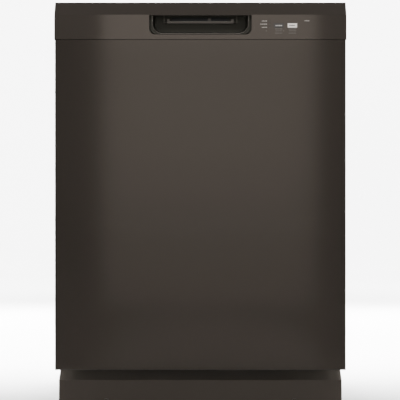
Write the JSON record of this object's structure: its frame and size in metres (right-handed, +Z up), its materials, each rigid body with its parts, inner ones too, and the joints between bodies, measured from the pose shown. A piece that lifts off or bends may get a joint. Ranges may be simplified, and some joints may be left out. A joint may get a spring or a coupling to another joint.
{
  "type": "built-in dishwasher",
  "caption": "Built-in under-counter dishwasher with a drop-down door, recessed finger pocket, sliding racks, turning spray arms and levelling legs.",
  "frame": {"origin": "middle of the overall box at floor level, legs screwed in", "axes": "+Z up, -Y out of the door's front, +X right seen from the front"},
  "size_m": [0.603, 0.61, 0.86],
  "materials": {
    "panel_paint": "satin",
    "console_plastic": "satin",
    "pocket_plastic": "fine texture",
    "key_white": "satin",
    "liner_plastic": "smooth",
    "tub_plastic": "smooth",
    "blanket_felt": "felted",
    "seal_rubber": "matte",
    "damper_bitumen": "matte",
    "zinc_steel": "galvanised",
    "stainless": "brushed",
    "wire_coat": "nylon coat",
    "grey_plastic": "smooth",
    "black_plastic": "smooth",
    "lens_clear": "clear",
    "board_green": "board",
    "heater_steel": "oxidised"
  },
  "bodies": {
    "cabinet": {"tub": "tub_plastic", "tub_blanket": "blanket_felt", "door_gasket": "seal_rubber", "door_strike": "stainless", "counter_brackets": "zinc_steel", "side_rails": "zinc_steel", "cross_rails": "zinc_steel", "toe_kick": "panel_paint", "kick_screws": "stainless", "sump": "black_plastic", "sump_cover": "stainless", "circulation_pump": "black_plastic", "drain_pump": "black_plastic", "inlet_valve": "black_plastic", "junction_box": "zinc_steel", "junction_cover": "zinc_steel", "heater_loop": "heater_steel", "feed_tube": "grey_plastic", "top_nozzle": "grey_plastic", "roller_studs": "stainless", "hinge_pins": "stainless", "spray_arm_cap": "grey_plastic", "balance_springs": "zinc_steel", "balance_cables": "zinc_steel"},
    "door": {"door_panel": "panel_paint", "door_damper": "damper_bitumen", "console": "console_plastic", "handle_pocket": "pocket_plastic", "latch_housing": "black_plastic", "control_board": "board_green", "indicator_lenses": "lens_clear", "door_liner": "liner_plastic", "vent_grille": "grey_plastic", "dispenser_body": "grey_plastic", "hinge_arms": "zinc_steel"},
    "upper_rack": {"upper_rack": "wire_coat", "upper_rack_tines": "wire_coat", "upper_rack_rails": "stainless", "mid_arm_feed": "grey_plastic"},
    "lower_rack": {"lower_rack": "wire_coat", "lower_rack_tines": "wire_coat", "silverware_basket": "grey_plastic"},
    "latch_lever": {"latch_lever": "console_plastic"},
    "latch_bolt": {"latch_bolt": "grey_plastic"},
    "start_key": {"start_key": "key_white"},
    "cycle_key": {"cycle_key": "console_plastic"},
    "dispenser_lid": {"dispenser_lid": "grey_plastic"},
    "rinse_cap": {"rinse_cap": "black_plastic"},
    "mid_spray_arm": {"mid_spray_arm": "grey_plastic"},
    "lower_spray_arm": {"lower_spray_arm": "grey_plastic"},
    "lower_wheels_front": {"lower_wheels_front": "grey_plastic"},
    "lower_wheels_rear": {"lower_wheels_rear": "grey_plastic"},
    "rail_rollers_front": {"rail_rollers_front": "grey_plastic"},
    "rail_rollers_rear": {"rail_rollers_rear": "grey_plastic"},
    "overflow_float": {"overflow_float": "grey_plastic"},
    "filter_cylinder": {"filter_cylinder": "grey_plastic"},
    "leg_front_left": {"leg_front_left": "zinc_steel"},
    "leg_front_right": {"leg_front_right": "zinc_steel"},
    "leg_rear_left": {"leg_rear_left": "zinc_steel"},
    "leg_rear_right": {"leg_rear_right": "zinc_steel"}
  },
  "joints": [
    {"name": "door_hinge", "type": "hinge", "parent": "cabinet", "child": "door", "pos_m": [0, -0.238, 0.168], "axis": [1, 0, 0], "range_deg": [0, 90], "stiffness_Nm_per_rad": 12, "springref_deg": -22.92, "deforming": ["balance_springs", "balance_cables"]},
    {"name": "upper_rack_slide", "type": "slide", "parent": "cabinet", "child": "upper_rack", "axis": [0, -1, 0], "range_m": [0, 0.3502]},
    {"name": "lower_rack_slide", "type": "slide", "parent": "cabinet", "child": "lower_rack", "axis": [0, -1, 0], "range_m": [0, 0.2044]},
    {"name": "lower_wheels_front_spin", "type": "hinge", "parent": "lower_rack", "child": "lower_wheels_front", "pos_m": [0, -0.06, 0.1913], "axis": [1, 0, 0], "range_deg": [0, 617]},
    {"name": "lower_wheels_rear_spin", "type": "hinge", "parent": "lower_rack", "child": "lower_wheels_rear", "pos_m": [0, 0.15, 0.1913], "axis": [1, 0, 0], "range_deg": [0, 617]},
    {"name": "rail_rollers_front_spin", "type": "hinge", "parent": "cabinet", "child": "rail_rollers_front", "pos_m": [0, -0.215, 0.561], "axis": [1, 0, 0], "range_deg": [0, 2048]},
    {"name": "rail_rollers_rear_spin", "type": "hinge", "parent": "cabinet", "child": "rail_rollers_rear", "pos_m": [0, -0.12, 0.561], "axis": [1, 0, 0], "range_deg": [0, 2048]},
    {"name": "lower_spray_spin", "type": "hinge", "parent": "cabinet", "child": "lower_spray_arm", "pos_m": [0, 0.015, 0.199], "axis": [0, 0, 1], "continuous": true},
    {"name": "mid_spray_spin", "type": "hinge", "parent": "upper_rack", "child": "mid_spray_arm", "pos_m": [0, 0.015, 0.491], "axis": [0, 0, 1], "continuous": true},
    {"name": "lever_pull", "type": "hinge", "parent": "door", "child": "latch_lever", "pos_m": [0, -0.274, 0.819], "axis": [1, 0, 0], "range_deg": [0, 12], "stiffness_Nm_per_rad": 0.4},
    {"name": "bolt_lift", "type": "slide", "parent": "door", "child": "latch_bolt", "axis": [0, 0, 1], "range_m": [0, 0.0026]},
    {"name": "start_press", "type": "slide", "parent": "door", "child": "start_key", "axis": [0, 1, 0], "range_m": [0, 0.0012], "stiffness_N_per_m": 600},
    {"name": "cycle_press", "type": "slide", "parent": "door", "child": "cycle_key", "axis": [0, 1, 0], "range_m": [0, 0.0012], "stiffness_N_per_m": 600},
    {"name": "lid_slide", "type": "slide", "parent": "door", "child": "dispenser_lid", "axis": [0, 0, 1], "range_m": [0, 0.076]},
    {"name": "cap_twist", "type": "hinge", "parent": "door", "child": "rinse_cap", "pos_m": [0.045, -0.256, 0.41], "axis": [0, 1, 0], "range_deg": [0, 90]},
    {"name": "float_lift", "type": "slide", "parent": "cabinet", "child": "overflow_float", "axis": [0, 0, 1], "range_m": [0, 0.012]},
    {"name": "filter_twist", "type": "hinge", "parent": "cabinet", "child": "filter_cylinder", "pos_m": [0.035, -0.02, 0.16], "axis": [0, 0, 1], "range_deg": [0, 60]},
    {"name": "leg_front_left_screw", "type": "slide", "parent": "cabinet", "child": "leg_front_left", "axis": [0, 0, -1], "range_m": [0, 0.022]},
    {"name": "leg_front_right_screw", "type": "slide", "parent": "cabinet", "child": "leg_front_right", "axis": [0, 0, -1], "range_m": [0, 0.022]},
    {"name": "leg_rear_left_screw", "type": "slide", "parent": "cabinet", "child": "leg_rear_left", "axis": [0, 0, -1], "range_m": [0, 0.022]},
    {"name": "leg_rear_right_screw", "type": "slide", "parent": "cabinet", "child": "leg_rear_right", "axis": [0, 0, -1], "range_m": [0, 0.022]}
  ],
  "couplings": [
    {"joint": "upper_rack_slide", "follows": "door_hinge", "m_per_rad": 0.2228},
    {"joint": "lower_rack_slide", "follows": "door_hinge", "m_per_rad": 0.13},
    {"joint": "lower_wheels_front_spin", "follows": "door_hinge", "ratio": 6.8421},
    {"joint": "lower_wheels_rear_spin", "follows": "door_hinge", "ratio": 6.8421},
    {"joint": "rail_rollers_front_spin", "follows": "door_hinge", "ratio": 22.735},
    {"joint": "rail_rollers_rear_spin", "follows": "door_hinge", "ratio": 22.735},
    {"joint": "bolt_lift", "follows": "lever_pull", "m_per_rad": 0.011937}
  ]
}
